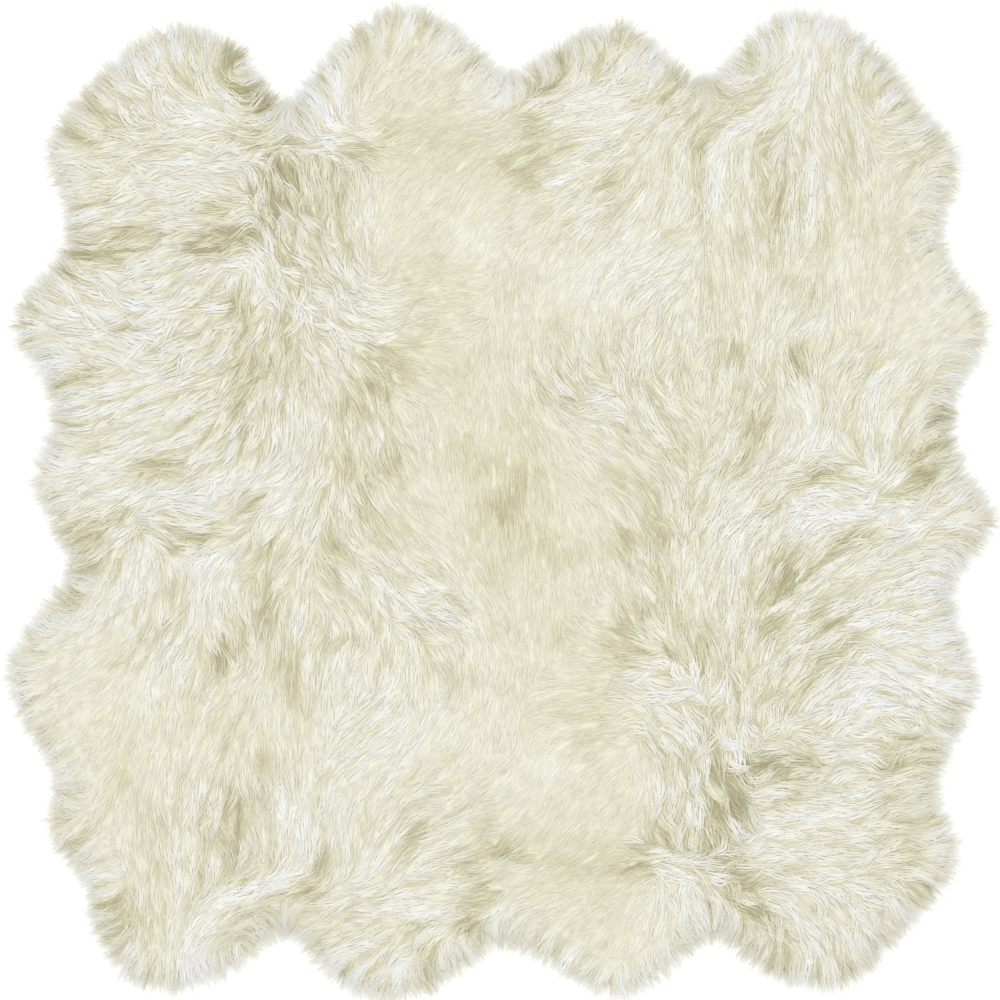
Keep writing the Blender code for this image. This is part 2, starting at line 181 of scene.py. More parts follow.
# ---- Hollows and tufts: painted shade and painted light on the wool ----
# A row says how much whiter the wool is painted there (below zero, darker), how far that spreads to
# each side, and then the x and y of each point it runs through. Below zero it is painted shade in
# the hollows, creases and partings, partly also the darker wool of the roots there; above zero it is
# painted light on the crowns of the tufts. Rows that were read on the near half come last, and the
# far half gets those, turned.
SHADES = (
    # head 1
    (-0.35, 20, -690, 902, -656, 879), (-0.5, 25, -515, 880, -490, 850),
    (-1.0, 13, -521, 791, -483, 776, -448, 760), (-0.35, 15, -835, 690, -790, 672),
    (-0.2, 30, -790, 655, -735, 560), (-0.3, 30, -575, 860, -525, 835), (-0.4, 24, -465, 745, -445, 690),
    (-0.1, 24, -490, 825, -485, 790), (-0.3, 24, -740, 880, -700, 898), (-0.35, 26, -525, 745, -470, 722),
    (-0.25, 22, -770, 750, -745, 735), (0.7, 23, -606, 737, -525, 756), (0.6, 28, -579, 614, -514, 626),
    # neck 1
    (-0.6, 22, -425, 660, -428, 590), (-0.3, 48, -440, 650, -440, 560), (-0.15, 42, -390, 510, -355, 490),
    (-0.6, 26, -560, 570, -485, 572), (-0.5, 20, -475, 775, -445, 772), (0.15, 45, -700, 640, -610, 630),
    (-0.35, 24, -470, 592, -437, 572), (0.9, 13, -517, 561, -483, 576),
    # shoulder 1
    (-0.42, 15, -810, 505, -717, 510, -621, 514), (-0.6, 17, -830, 455, -730, 466),
    (-0.8, 17, -587, 503, -502, 515, -421, 522), (-0.8, 20, -570, 482, -505, 492),
    (-0.2, 20, -830, 535, -780, 530), (0.25, 18, -455, 497, -430, 482), (0.3, 19, -537, 461, -433, 453),
    # whorl
    (-0.15, 13, -771, 407, -732, 415, -690, 396), (-0.25, 12, -729, 330, -698, 319),
    (-0.5, 10, -790, 257, -744, 253), (-0.2, 34, -650, 260, -600, 240), (0.55, 22, -752, 253, -656, 345),
    (-0.35, 24, -640, 225, -600, 222), (0.15, 30, -690, 290, -660, 262), (0.7, 17, -690, 380, -660, 369),
    # foreleg 1
    (0.35, 40, -800, 390, -740, 370), (0.25, 30, -870, 330, -862, 270), (-0.6, 30, -924, 380, -915, 365),
    (-0.15, 34, -880, 410, -790, 450), (0.15, 30, -800, 310, -780, 290),
    # flank 1
    (-0.2, 27, -460, 288, -487, 234, -521, 180), (-0.45, 21, -483, 173, -517, 104),
    (-0.1, 48, -560, 330, -510, 270), (-0.4, 27, -505, 250, -498, 238), (-0.35, 30, -540, 375, -500, 365),
    (-0.15, 26, -430, 310, -415, 240, -380, 215),
    # side 1
    (-0.5, 14, -592, 104, -671, 76, -729, 57), (-0.2, 10, -567, 200, -625, 173),
    (-0.35, 10, -890, 192, -832, 204), (-0.3, 10, -886, 150, -828, 161),
    (-0.45, 20, -610, 130, -560, 120), (-0.4, 22, -515, 55, -500, 35), (-0.3, 24, -655, 240, -610, 234),
    (-0.35, 18, -825, 45, -795, 38), (-0.4, 18, -615, 305, -580, 290), (-0.6, 18, -545, 142, -515, 140),
    (0.2, 30, -700, 175, -620, 160), (0.3, 38, -850, 130, -830, 110), (0.35, 26, -850, 235, -845, 170),
    (0.2, 19, -587, 242, -752, 200), (0.45, 15, -579, 123, -732, 100),
    (0.7, 27, -483, 50, -598, 15, -675, 8, -735, 22),
    # belly 1
    (0.4, 30, -430, 60, -415, -20), (0.2, 34, -390, 110, -385, 40), (-0.15, 40, -335, 20, -335, -40),
    # fold
    (-0.7, 15, -805, -54, -756, -35, -721, -19), (-0.25, 13, -698, -54, -675, -35, -633, -42),
    (-0.55, 15, -655, -8, -608, -32, -562, -52, -521, -19, -469, 4), (-0.2, 25, -825, -35, -752, -75),
    (-0.2, 17, -710, 5, -640, 6), (0.6, 20, -675, -36, -655, -62), (-0.25, 28, -810, -75, -755, -90),
    (-0.25, 12, -640, -52, -590, -62, -565, -50), (-0.12, 28, -830, -70, -790, -50),
    (-0.3, 15, -721, -19, -680, -14), (0.35, 17, -590, 0, -530, 30),
    # head 2
    (-0.08, 45, -160, 750, -110, 735), (0.7, 23, -329, 810, -318, 737, -348, 691),
    # neck 2
    (-0.2, 27, -329, 580, -287, 518, -241, 480), (-0.5, 15, -414, 480, -379, 442),
    (-0.4, 15, -265, 695, -235, 680, -215, 700), (0.4, 36, -265, 540, -235, 500),
    (-0.35, 30, -372, 665, -365, 640), (-0.15, 34, -300, 610, -285, 585),
    (-0.2, 36, -330, 550, -270, 480), (-0.3, 16, -262, 664, -235, 656), (0.3, 12, -310, 699, -249, 691),
    # throat 2
    (-0.2, 38, -310, 700, -295, 625),
    # shoulder 2
    (0.13, 80, -150, 500, -20, 520), (-0.2, 60, -150, 490, -135, 400),
    # flank 2
    (-0.5, 25, -241, 215, -187, 173), (-0.3, 15, -345, 338, -299, 307), (-0.15, 23, -410, 288, -318, 261),
    (-0.3, 30, -425, 350, -390, 388), (-0.15, 30, -305, 425, -295, 410), (-0.2, 36, -370, 275, -340, 262),
    (0.2, 40, -300, 390, -240, 330), (0.7, 13, -448, 392, -372, 365), (0.5, 23, -76, 507, -45, 484),
    # side 2
    (-0.4, 36, -185, 305, -228, 280, -190, 245), (-0.35, 30, -291, 190, -285, 130),
    (0.35, 22, -190, 195, -180, 180), (-0.2, 30, -95, 248, -80, 240),
    # belly 2
    (-0.45, 19, -218, 96, -195, 54), (-0.35, 25, -315, 62, -225, 60), (-0.3, 26, -182, 75, -170, 66),
    (-0.2, 22, -262, 122, -262, 112), (0.15, 27, -160, 42, -118, 4),
    # middle
    (-0.25, 40, -11, 54, 15, 10, -35, -60), (-0.2, 40, -290, 680, 20, 665), (-0.15, 30, 50, 160, 72, 135),
    (-0.25, 38, -75, 90, -50, 70),
    # head 3
    (-1.0, 10, 66, 791, 97, 803), (-0.4, 17, 32, 737, 74, 722), (-0.25, 17, 228, 906, 258, 872),
    (-0.22, 21, 325, 820, 345, 790, 358, 764), (-0.5, 8, 89, 783, 189, 795),
    (-0.5, 8, 247, 764, 320, 768), (-0.15, 28, 135, 868, 165, 856), (-0.2, 26, 70, 830, 80, 760, 85, 690),
    (-0.25, 22, 150, 842, 210, 838), (0.7, 25, 155, 772, 228, 737), (0.5, 19, 170, 680, 112, 607),
    # neck 3
    (-0.55, 19, 198, 618, 206, 576), (0.12, 45, 230, 590, 300, 560),
    # throat 3
    (0.35, 32, 343, 640, 350, 570), (-0.3, 34, 130, 645, 200, 648), (-0.3, 30, 5, 655, 45, 640),
    (-0.35, 20, 45, 612, 60, 600), (-0.25, 28, 45, 740, 70, 690),
    # shoulder 3
    (0.35, 60, 120, 410, 240, 450), (-0.2, 30, 290, 510, 320, 495), (-0.08, 26, 120, 500, 165, 530),
    (-0.2, 20, 115, 345, 150, 265, 195, 218),
    # flank 3
    (-0.2, 26, 110, 340, 115, 315), (-0.3, 24, 310, 255, 375, 245), (0.2, 31, 266, 503, 343, 445),
    # side 3
    (-0.1, 21, 116, 227, 201, 204), (-0.25, 35, 308, 61, 266, -35), (-0.15, 30, 255, 210, 280, 185),
    (-0.35, 28, 215, 48, 240, 35), (0.7, 15, 181, 200, 216, 180),
    # head 4
    (-0.1, 19, 423, 799, 458, 837), (-0.7, 10, 404, 718, 500, 768), (-0.2, 23, 727, 845, 769, 799),
    (-0.22, 30, 680, 795, 700, 785), (-0.25, 24, 425, 790, 480, 806),
    (-0.3, 22, 345, 775, 370, 745, 390, 710), (-0.25, 42, 800, 690, 845, 650),
    (-0.25, 15, 452, 806, 462, 806), (-0.25, 20, 727, 790, 745, 765),
    (0.95, 17, 404, 691, 496, 741, 562, 803, 569, 879), (0.6, 19, 596, 637, 596, 530),
    # neck 4
    (-0.7, 22, 400, 699, 388, 680, 366, 649), (-0.25, 13, 377, 607, 389, 507),
    (-0.6, 26, 515, 640, 525, 590, 532, 550), (-0.35, 17, 496, 699, 527, 710),
    (-0.7, 15, 569, 607, 573, 564), (-0.15, 19, 654, 634, 677, 572), (-0.2, 22, 650, 605, 652, 590),
    (0.8, 15, 408, 657, 412, 568), (0.8, 10, 546, 568, 565, 591),
    # cheek 4
    (-0.3, 24, 735, 520, 737, 500),
    # shoulder 4
    (-0.1, 25, 546, 422, 604, 407), (-0.25, 19, 412, 419, 431, 372), (-0.1, 30, 625, 505, 665, 495),
    (-0.3, 28, 465, 495, 490, 480), (-0.25, 22, 573, 310, 573, 290), (0.15, 35, 820, 520, 850, 500),
    (-0.25, 24, 545, 455, 560, 420), (0.15, 45, 650, 390, 720, 340), (0.24, 27, 646, 511, 684, 472),
    # flank 4
    (-0.4, 18, 443, 338, 454, 296), (0.15, 26, 360, 345, 390, 325), (0.1, 45, 370, 290, 400, 200),
    (0.6, 23, 577, 200, 604, 138),
    # side 4
    (-0.85, 15, 560, 292, 575, 255), (-0.5, 21, 500, 230, 481, 180, 490, 140),
    (-0.35, 15, 673, 230, 688, 173), (-0.6, 24, 850, 173, 825, 102),
    (-0.6, 16, 679, 90, 631, 46, 564, 29), (-0.25, 26, 352, 150, 340, 100),
    (-0.35, 26, 430, 280, 445, 262), (0.25, 50, 830, 360, 850, 240), (-0.4, 21, 536, 268, 545, 258),
    (-0.3, 14, 662, 150, 660, 128), (-0.3, 15, 605, 44, 618, 40), (-0.2, 24, 445, 190, 500, 195),
    (0.15, 35, 690, 190, 740, 140), (-0.15, 28, 690, 255, 760, 265), (-0.1, 18, 445, 165, 470, 140),
    (-0.35, 14, 668, 86, 652, 68), (0.7, 25, 562, 100, 642, 100), (0.9, 19, 546, 12, 642, 31),
    # belly 4
    (-0.2, 19, 492, 108, 546, 73), (-0.2, 28, 345, 82, 400, 78), (-0.4, 24, 478, 80, 470, 60),
    (0.3, 24, 705, 78, 712, 60), (0.2, 50, 735, 200, 745, 180),
    # hind 4
    (-0.6, 15, 635, -73, 704, -54, 757, -31), (-0.25, 8, 573, -19, 669, -4),
    (-0.3, 24, 515, -20, 510, -60), (0.2, 40, 780, 20, 840, 30), (0.45, 17, 673, -15, 742, 4, 757, 46),
    (0.6, 15, 765, -65, 880, -35),
    # read on the near half
    (-0.12, 26, 10, -130, -85, -260), (-0.15, 28, 304, -190, 304, -235), (-0.3, 18, 415, -555, 417, -632),
    (-0.35, 18, 440, -785, 455, -800),
)

# ---- Tangles: places where the locks curl, turn and stand out more (below zero, less) ----
# The rows of this table and the next are like those above: how much more, how far, and where.
TANGLES = (
    (0.4, 110, -720, 760, -560, 780),  # head 1
    (0.45, 60, -450, 720, -450, 570),  # parting of neck 1
    (0.7, 65, -330, 690, -300, 640),  # messy throat 2
    (0.9, 100, -390, 430, -290, 370),  # rough curls of flank 2
    (0.35, 120, -850, 330, -640, 340),  # whorl
    (0.4, 60, -730, 370, -690, 330),  # middle of the whorl
    (0.25, 90, -700, 500, -560, 480),  # shoulder 1
    (-0.3, 100, -800, 130, -560, 170),  # side 1
    (0.2, 100, -720, 20, -440, 20),  # belly 1
    (0.5, 65, 150, 880, 290, 880),  # crown of head 3
    (0.8, 60, 120, 220, 205, 200),  # curls of side 3
    (0.3, 70, 530, 640, 540, 540),  # hollows of neck 4
    (0.35, 80, 600, 0, 760, 0),  # bend of belly 4
    (-0.6, 115, -150, 570, -100, 400, -20, 200, -10, 0),  # smooth middle
    (-0.3, 80, -290, 850, -130, 760),  # smooth head 2
    (-0.3, 80, 140, 430, 140, 300),  # smooth shoulder 3
    (-0.35, 60, 280, 590, 290, 560),  # smooth neck 3
    (-0.35, 95, 440, 440, 860, 440),  # smooth shoulder 4
    (-0.3, 70, 720, 600, 720, 540),  # smooth edge of neck 4
    (-0.4, 60, -150, 10, -150, -20),  # smooth belly 2
)

# ---- Crispness: places where light and dark wool differ more than elsewhere (below zero, less) ----
CRISPNESS = (
    (0.6, 95, -830, 150, -640, 200, -540, 150),  # side 1
    (0.6, 90, -440, 720, -430, 560),  # neck 1
    (0.3, 70, -800, 500, -560, 490),  # shoulder 1
    (0.25, 80, -850, 380, -640, 330),  # foreleg 1
    (-0.4, 130, -150, 650, -120, 300, 0, 0),  # middle
    (-0.4, 90, -160, 850, -130, 600),  # head 2
    (-0.4, 80, 0, 640, 60, 480, 80, 380),  # throat 3
    (-0.45, 110, 800, 480, 840, 300),  # edge of shoulder 4
)
STRENGTH_LEAST = 0.1     # the wool's strength, 1 where no row says otherwise, is never below this

# ---- The layers of a pelt ----
WELD = 0.01              # vertices of the CAD solid nearer than this are one
ON_FLOOR = 0.1           # a vertex lower than this is on the floor
EDGE_OF_TOP = 12         # the wool stands at least this high over the edge of the hide
HIDE_BOTTOM = 0.4        # over the floor, where the seam's stitches lie under it
HIDE_THICKNESS = 1.6
UNDERWOOL_GAP = 0.1      # between the hide and the underwool
UNDERWOOL_FOOT = 0.3     # how far the underwool's locks are over the floor
UNDERWOOL_SINK = 2.1     # the underwool lies this far under the top of the wool
SINK_STRENGTH = (0.65, 1.2)   # least and most share of that, by the strength of the wool there
SINK_HEIGHT = 40         # from this height up it is sunk in full
UNDERWOOL_LEAST = 0.7    # it keeps at least this share of the solid's height
UNDERWOOL_LIGHT = 0.66   # where the wool is of the usual strength and has no shade
UNDERWOOL_GAP_SHADE = 0.2 # painted shade: how much darker it is where the wool is stronger, its gaps deeper
UNDERWOOL_STRONG = 0.9   # counted from this strength up
UNDERWOOL_SHADE = 0.4    # how much of the wool's painted shade and painted light it takes
LOCK_DRAWN_IN = 0.3      # its locks are drawn in by this share of the overhang
SEAM_CLOSED = 0.13       # how far its walls stand out towards the next pelt's
WALL = 0.05              # a face is a wall if its normal rises less than this

# ---- Strands of the fleece ----
# A row is one kind of strand: from one root to the next, its length and how much that varies, its
# greatest width, how far its tip rises over the wool, how far its line turns from the wool's lie, in
# degrees, how much it gathers into locks, and how far it reaches past the edge of the hide and how
# much that varies, as shares of the overhang.
Kind = namedtuple("Kind", "pitch length varies width rise turn gathers reach uneven")
BODY = Kind(7.2, 52, 0.35, 2.9, 0.7, 9, 1.0, 0.85, 0.15)
STRAY = Kind(24, 62, 0.35, 1.3, 4, 20, 0.6, 0.9, 0.2)
FRINGE = Kind(1.1, 88, 0.3, 2.8, 4, 9, 0.4, 0.9, 0.14)
RIM_HAIR = Kind(0.85, 84, 0.35, 1.2, 8, 13, 0.2, 1.02, 0.16)
# How far in from the edge of the hide the middles of the rim's strands lie.
FRINGE_BAND = (-18, 22)
RIM_HAIR_BAND = (-30, 12)
WOOL_OVERHANG = 58.5     # how far the wool lies out past the edge of the hide
REACH_RANGE = (0.4, 1.3) # least and most share of that
STATIONS = 3             # points on a strand, from its root to its tip
STEPS_BACK, STEPS_ON = 7, 9   # a strand is drawn both ways from a place near its middle
PATH_STEPS = STEPS_BACK + STEPS_ON
LEAST_STEPS = 3          # what is left at least of a strand that is cut off
TURNING = 0.6            # how readily a strand follows the lie of the wool at each step
ROOT_DEPTH = 2           # a root is this far under the top of the wool
LOWEST, HIGHEST = 1.5, 62   # no wool is nearer the floor, or rises above this
RISE_VARIES = (0.05, 1)
RISE_POWER = 1.4         # so that most strands rise little
WIDTH_VARIES = (0.65, 1.2)
ROOT_WIDTH = 0.7         # as a share of the width

LockRows = namedtuple("LockRows", "path turn curl tight rise phase wave width light")
LOCK_PITCH = 32          # from the middle of one lock to the next
LOCKS_END = -20          # no lock's middle is further out than this past the edge of the hide
LOCK_LENGTH = 70
LOCK_TURN = 10           # how far it turns from the lie of the wool, in degrees
LOCK_CURL = 26           # how much further it turns along its length
TANGLED_TURN = 2.2       # how much more it turns where the wool is all tangled
TANGLED_CURL = 1.6
TANGLE_LEAST = -0.4      # smooth places count no lower than this
TIGHTNESS = (0.45, 0.85) # how far its strands draw together at their tips
TIGHTNESS_VARIES = (0.6, 1.05)   # for each strand, as a share of its lock's
AGREEMENT = (0.3, 0.85)  # cosines to its lock's line at which a strand draws in not at all and fully
LOCK_GATHERS = 0.6       # how far its tips also draw together lengthwise
LOCK_RISE = (0, 3.5)
CRIMP_LENGTH = (42, 70)
CRIMP_WIDTH = (0.8, 2.6)
# Powers of the way along a strand: the higher, the nearer to its tip it gathers, waves and rises.
GATHERS_LATE, WAVES_LATE, RISES_LATE = 1.2, 0.7, 1.5
DOME_LEAST = -0.5        # of a strand outside its lock, where 1 is in the middle and 0 at the edge

LIGHT_MIDDLE = 0.58
LIGHT_OF_STREAK = 0.1
STREAK_STRENGTH = 1.1    # the strength of the wool makes streaks no stronger than this
LIGHT_OF_LOCK = 0.05
LIGHT_OF_STRAND = 0.05
# darker at the root and lighter at the tip: partly the wool's own darker roots, partly painted shade
# where roots lie under the tips of other strands
ROOT_TONE_AND_SHADE = 0.17
# painted light at a lock's middle and painted shade at its edges, where the locks meet
PAINTED_LOCK_EDGE_SHADE = 0.12
# painted light on each strand's ridge and painted shade on its sides
PAINTED_RIDGE_LIGHT = 0.05
# painted light on the rim, whose sloping strands take less light
PAINTED_RIM_LIGHT = 0.1
RIM_BAND = (-50, 20)     # the painted light of the rim begins and is full at these distances past the edge
# Painted shade where the wool is smoother, whose flatter strands cast less shadow, and painted light
# where it is crisper.
PAINTED_LIGHT_BY_STRENGTH = 0.1  # which keeps the tone where the contrast is stronger
SHADE_STRAYS = 9         # how far from its own place a strand may take its shade
SHADE_OF_LOCK = -0.3     # how much more shade a lock takes for being light
SHADE_VARIES = 0.25
SHADE_RANGE = (0.2, 1.8)
# How strongly the painted shade of the hollows and the painted light of the tufts show.
PAINTED_SHADE_SCALE = 0.58
PAINTED_LIGHT_SCALE = 0.34

MAP_REACH = 1048         # the maps of the rug reach this far to each side of its middle
MAP_PITCH = 8
TOP_SOFTENED = 3         # times that the map of the wool's top is softened
SLOPE_SOFTENED = 6
STREAK_PITCH = 6         # which is also about how wide a streak is
STREAK_STEPS = 9         # how far a streak runs to each side, in steps of its pitch
BESIDE_SEAM = ((0, 0), (1, 0.7), (0.7, -1))   # where a line down is tried, in case a seam is there
ROW_PITCH = 0.866        # from row to row of scattered places, as a share of the pitch
JITTER = 0.48            # how far each is moved at most, as a share of the pitch

# A strand's vertices are two rings of three, left, ridge and right, and then its tip. A row is one
# face: its vertices, where its corners are on the strand's own map, across and along, and whether
# it is on the strand's underside.
Face = namedtuple("Face", "corners places below")
STRAND_FACES = (
    Face((0, 1, 4, 3), ((0, 0), (1, 0), (1, 1), (0, 1)), False),
    Face((1, 2, 5, 4), ((1, 0), (2, 0), (2, 1), (1, 1)), False),
    Face((2, 0, 3, 5), ((2, 0), (3, 0), (3, 1), (2, 1)), True),
    Face((3, 4, 6), ((0, 1), (1, 1), (0.5, 2)), False),
    Face((4, 5, 6), ((1, 1), (2, 1), (1.5, 2)), False),
    Face((5, 3, 6), ((2, 1), (3, 1), (2.5, 2)), True),
    Face((0, 2, 1), ((0, 0), (3, 0), (1.5, 0.5)), True),
)
STRAND_CELL = (5, 20)    # proportions of a strand's own cell on the map of its fleece
CELL_MARGIN = 0.08
RIDGE = 0.1              # height of a strand's ridge, as a share of half its width
NORMAL_RAISED = 1.1      # how far the normals are turned up, so that the wool takes light softly
NORMAL_LEAN = 0.2        # how far the normals at its sides lean out

# ---- The stitches of the seams, on the underside ----
STITCH_PITCH = 7
STITCH_WIDTH = 8
STITCH_BEGINS, STITCH_TURNS, STITCH_ENDS = 0.06, 0.5, 0.94   # as shares of the pitch
STITCH_SHORT = 0.6       # how far each end stays short of the next thread
THREAD = 0.34
BEYOND_SEAM = 4          # this far from a seam is surely on the next pelt

# ---- Colours: stops of how light the wool is, and its colour there ----
WOOL_COLOURS = (
    (0.00, (0.415, 0.385, 0.222)),
    (0.30, (0.595, 0.572, 0.392)),
    (0.60, (0.730, 0.712, 0.590)),
    (1.00, (0.797, 0.797, 0.785)),
)
UNDERWOOL_COLOURS = (
    (0.00, (0.43, 0.40, 0.25)),
    (0.60, (0.71, 0.69, 0.57)),
    (1.00, (0.78, 0.775, 0.71)),
)
SUEDE_COLOURS = ((0.3, (0.62, 0.52, 0.38)), (0.7, (0.78, 0.69, 0.55)))
LINEN = (0.62, 0.55, 0.42, 1)
FLOOR_COLOUR = (0.93, 0.93, 0.93, 1)
WOOL_MOTTLE = 0.16
UNDERWOOL_MOTTLE = 0.4
SUEDE_CLOUDS, SUEDE_GRAIN = 0.6, 0.4

# ---- Camera, light and floor ----
CAMERA_LENS = 200
SENSOR = 36
CAMERA_REACH = 50        # in metres
VIEW_WIDTH = 1920        # of the floor that the photograph shows
VIEW_MIDDLE = (-2.9, 3.8)
VIEW_HEIGHT = 20         # the picture is to scale at this height over the floor
WORLD_LIGHT = 0.9
KEY_PLACE, KEY_SIZE, KEY_POWER = (-0.2, 0.2, 10.0), 4.5, 379   # in metres and watts
FLOOR_REACH = 30         # in metres, so that its edge shows in no view
FLOOR_DROP = 0.5         # how far the floor is under the rug


def unit(vectors):
    return vectors / np.maximum(np.linalg.norm(vectors, axis=-1, keepdims=True), 1e-9)


def ramp(values, low, high):
    """A smooth rise from 0 at low to 1 at high."""
    share = np.clip((values - low) / (high - low), 0, 1)
    return share * share * (3 - 2 * share)


def doubled(directions):
    """The directions with their angles doubled, where a line's two ways come out as one."""
    x, y = np.moveaxis(directions, -1, 0)
    return np.stack([x * x - y * y, 2 * x * y], axis=-1)


def turned(points):
    """The points on the rug's near half, turned half round."""
    places, slips = np.hsplit(np.array(SLIPS, float), 2)
    away = np.linalg.norm(points[:, None] - places, axis=2)
    weight = np.exp(-(away / SLIP_SPREAD) ** 2) + FAR_WEIGHT
    slip = weight @ slips / weight.sum(axis=1, keepdims=True)
    return 2 * np.array(HALF_TURN_CENTRE) - points + slip


def on_both_halves(numbers):
    """The points of a table's row, on the far half and on the near half."""
    points = np.reshape(numbers, (-1, 2)).astype(float)
    return points, turned(points)


def distance_to_chord(places, start, end):
    along = end - start
    share = np.clip((places - start) @ along / (along @ along), 0, 1)
    return np.linalg.norm(places - start - share[:, None] * along, axis=1)


def distance_to_nearest(places, chords):
    return np.min([distance_to_chord(places, *chord) for chord in chords], axis=0)


def total_of(table, places):
    """What the table's rows add up to at each place, from -1 to 1."""
    total = np.zeros(len(places))
    for amount, spread, *numbers in table:
        for points in on_both_halves(numbers):
            away = distance_to_nearest(places, zip(points, points[1:]))
            total += amount * np.exp(-(away / spread) ** 2)
    return np.clip(total, -1, 1)


class Map:
    """Values at the points of a square grid over the rug, read at any place between them."""

    @staticmethod
    def places(pitch=MAP_PITCH):
        steps = np.arange(-MAP_REACH, MAP_REACH + 1, pitch)
        xs, ys = np.meshgrid(steps, steps, indexing="ij")
        return np.stack([xs.ravel(), ys.ravel()], axis=1).astype(float)

    def __init__(self, values, softened=0, pitch=MAP_PITCH):
        self.pitch = pitch
        self.side = 2 * MAP_REACH // pitch + 1
        values = np.array(values, float).reshape(self.side, self.side, -1)
        for _ in range(softened):
            wider = np.pad(values, ((1, 1), (1, 1), (0, 0)), mode="edge")
            crossed = wider[:-2, 1:-1] + wider[2:, 1:-1] + wider[1:-1, :-2] + wider[1:-1, 2:]
            values = (4 * values + crossed) / 8
        self.values = values

    def at(self, places):
        flat = places.reshape(-1, 2)
        spots = np.clip((flat + MAP_REACH) / self.pitch, 0, self.side - 1.001)
        x, y = spots.astype(int).T
        share_x, share_y = (spots - spots.astype(int)).T[:, :, None]
        low = self.values[x, y] * (1 - share_x) + self.values[x + 1, y] * share_x
        high = self.values[x, y + 1] * (1 - share_x) + self.values[x + 1, y + 1] * share_x
        found = low * (1 - share_y) + high * share_y
        return found.reshape(*places.shape[:-1], -1)

    def level_at(self, places):
        return self.at(places)[..., 0]


# ---- The pelts as the CAD has them ----

class Pelt:
    """One pelt's CAD solid, welded, with the part of its underside that is hide."""

    def __init__(self, name, mesh):
        self.name = name
        self.bm = bmesh.new()
        self.bm.from_mesh(mesh)
        bmesh.ops.remove_doubles(self.bm, verts=self.bm.verts, dist=WELD * MM)
        self.bm.verts.index_update()
        self.bm.faces.index_update()
        self.ring = {vert for vert in self.bm.verts if self.is_under_edge(vert)}
        underside = {face for face in self.bm.faces
                     if all(vert.co.z < ON_FLOOR * MM for vert in face.verts)}
        self.hide = [face for face in self.bm.faces
                     if face in underside and self.ring.issuperset(face.verts)]
        under_locks = underside.difference(self.hide)
        edges = [edge for face in self.hide for edge in face.edges]
        self.rim = [edge for edge in edges if under_locks.intersection(edge.link_faces)]
        self.seams = [edge for edge in edges if not underside.issuperset(edge.link_faces)]

    @staticmethod
    def is_under_edge(vert):
        """Whether the vertex is at the bottom of the hide's edge, right under its top."""
        others = [edge.other_vert(vert).co for edge in vert.link_edges]
        above = [co for co in others if (co.xy - vert.co.xy).length < WELD * MM]
        return vert.co.z < ON_FLOOR * MM and any(co.z > EDGE_OF_TOP * MM for co in above)

    def rim_chords(self):
        return np.array([[vert.co.xy / MM for vert in edge.verts] for edge in self.rim])

    def hide_size(self):
        """The hide's width and length, and its flat area, in metres."""
        places = np.array([vert.co.xy for face in self.hide for vert in face.verts])
        return np.ptp(places, axis=0), sum(face.calc_area() for face in self.hide)


def tree_of(pelts, faces_of):
    """A tree to drop lines on the pelts' faces, and the pelt that each face belongs to."""
    points, faces, owners = [], [], []
    for number, pelt in enumerate(pelts):
        for face in faces_of(pelt):
            faces.append(range(len(points), len(points) + len(face.verts)))
            points += [vert.co for vert in face.verts]
            owners.append(number)
    return BVHTree.FromPolygons(points, faces), owners


def dropped(tree, places):
    """Where a line straight down meets the tree: the heights, and the faces (-1 for none)."""
    heights, faces = np.zeros(len(places)), np.full(len(places), -1)
    for i, (x, y) in enumerate(places):
        for right, far in BESIDE_SEAM:
            point, _, face, _ = tree.ray_cast(((x + right) * MM, (y + far) * MM, 1), (0, 0, -1))
            if point:
                heights[i] = point.z / MM
                faces[i] = face
                break
    return heights, faces


